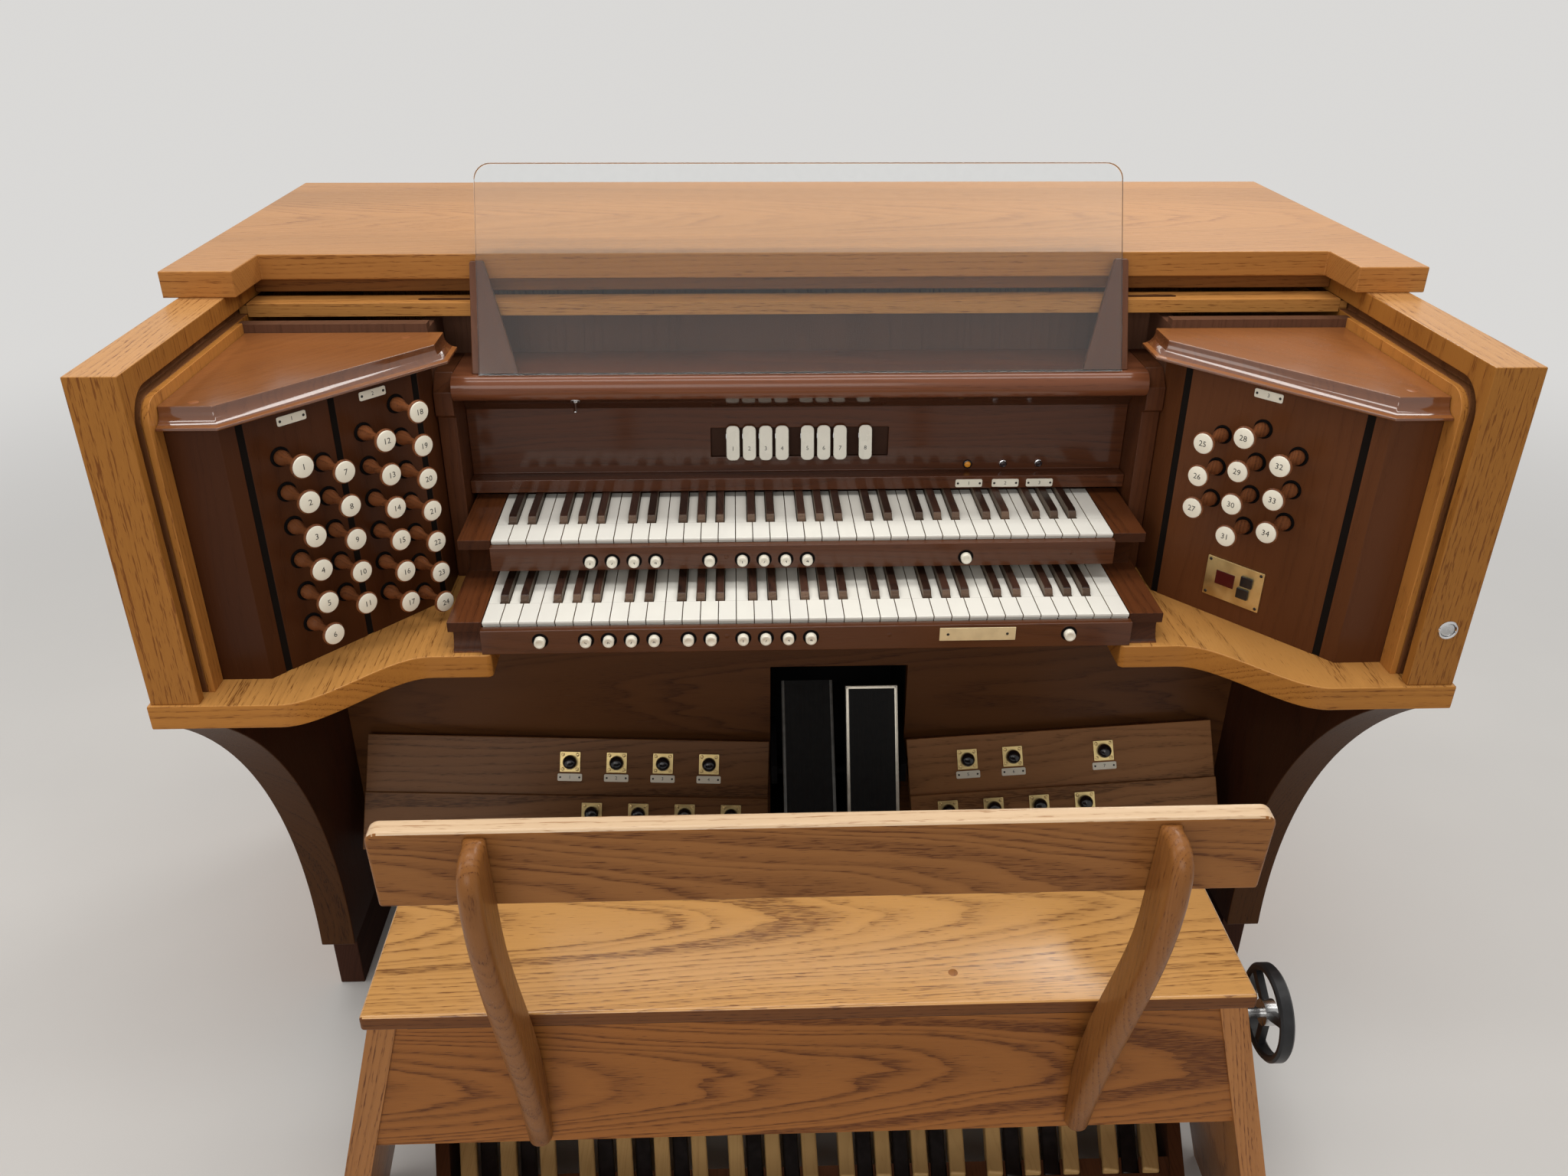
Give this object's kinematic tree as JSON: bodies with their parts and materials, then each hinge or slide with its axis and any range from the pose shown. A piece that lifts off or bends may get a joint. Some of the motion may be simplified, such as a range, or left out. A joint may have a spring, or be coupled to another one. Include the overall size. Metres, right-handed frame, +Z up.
{
  "type": "pipe organ console",
  "caption": "Two-manual pipe organ console with angled drawknob jambs, clear music desk, concave radiating pedalboard and backed bench.",
  "frame": {"origin": "centre of the footprint on the floor, console, pedalboard and bench together", "axes": "+X to the player's right, +Y away from the player to the console's back, +Z up"},
  "size_m": [1.644, 1.406, 1.3792],
  "materials": {
    "oak": "satin varnish",
    "walnut": "satin varnish",
    "dark_oak": "satin varnish",
    "maple": "clear varnish",
    "rosewood": "polished",
    "ivory_plastic": "polished",
    "clear_acrylic": "clear",
    "brass_trim": "polished",
    "dark_metal": "satin black",
    "black_rubber": "ribbed"
  },
  "bodies": {
    "root": {"left_side_board": "oak", "right_side_board": "oak", "tambour_tracks": "oak", "lid": "oak", "roll_top_rail": "oak", "back_board": "oak", "inner_wall": "walnut", "key_shelf": "oak", "left_leg": "oak", "right_leg": "oak", "knee_panel": "dark_oak", "shoe_well": "dark_metal", "toe_boards": "dark_oak", "toe_studs": "brass_trim", "left_stop_jamb": "walnut", "right_stop_jamb": "walnut", "jamb_caps": "walnut", "pedal_drawknobs": "rosewood", "swell_drawknobs": "rosewood", "great_drawknobs": "rosewood", "memory_plate": "brass_trim", "key_frames": "maple", "lower_naturals": "ivory_plastic", "lower_sharps": "rosewood", "upper_naturals": "ivory_plastic", "upper_sharps": "rosewood", "key_slips": "walnut", "thumb_pistons": "ivory_plastic", "key_cheeks": "walnut", "end_boards": "walnut", "coupler_board": "walnut", "coupler_tablets": "ivory_plastic", "music_rail": "walnut", "desk_supports": "walnut", "music_desk": "clear_acrylic", "pedal_frame": "dark_oak", "pedal_naturals": "maple", "pedal_sharps": "rosewood", "bench_seat": "oak", "bench_frame": "oak", "backrest": "oak", "backrest_arms": "oak"},
    "left_shoe": {"left_expression_shoe": "black_rubber"},
    "right_shoe": {"right_expression_shoe": "black_rubber"},
    "bench_wheel": {"bench_handwheel": "dark_metal"}
  },
  "joints": [
    {"name": "left_shoe_tip", "type": "hinge", "parent": "root", "child": "left_shoe", "pos_m": [0, 0.203, 0.385], "axis": [1, 0, 0], "range_deg": [-18, 16]},
    {"name": "right_shoe_tip", "type": "hinge", "parent": "root", "child": "right_shoe", "pos_m": [0.15, 0.203, 0.385], "axis": [1, 0, 0], "range_deg": [-32, 2]},
    {"name": "bench_wheel_turn", "type": "hinge", "parent": "root", "child": "bench_wheel", "pos_m": [0.5, -0.518, 0.562], "axis": [1, 0, 0], "continuous": true}
  ]
}
